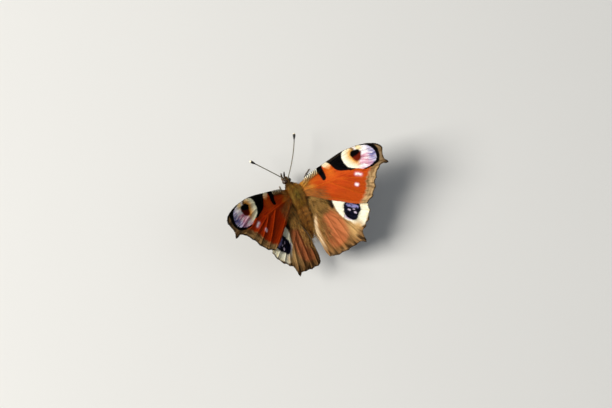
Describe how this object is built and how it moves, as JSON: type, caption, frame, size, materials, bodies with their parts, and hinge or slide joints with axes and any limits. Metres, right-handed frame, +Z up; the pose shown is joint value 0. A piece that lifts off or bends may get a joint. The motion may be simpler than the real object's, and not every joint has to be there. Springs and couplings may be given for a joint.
{
  "type": "peacock butterfly",
  "caption": "Still, life-size peacock butterfly standing with its wings open in a shallow V, an eyespot on each wing.",
  "frame": {"origin": "on the floor, under the middle of the box round the whole butterfly", "axes": "+X to the butterfly's left, -Y the way its head points, +Z up"},
  "size_m": [0.0594, 0.0414, 0.0195],
  "materials": {
    "wing_scales": "matt scales with a faint sheen",
    "body_fur": "short dense hair",
    "eye": "glossy facets",
    "horn": "satin chitin"
  },
  "bodies": {
    "root": {"head": "body_fur", "thorax": "body_fur", "abdomen": "body_fur", "eye_left": "eye", "eye_right": "eye", "palp_left": "body_fur", "palp_right": "body_fur", "proboscis": "horn", "antenna_left": "horn", "antenna_right": "horn", "forewing_left": "wing_scales", "forewing_right": "wing_scales", "hindwing_left": "wing_scales", "hindwing_right": "wing_scales", "foreleg_left": "body_fur", "foreleg_right": "body_fur", "midleg_left": "horn", "midleg_right": "horn", "hindleg_left": "horn", "hindleg_right": "horn"}
  },
  "joints": []
}
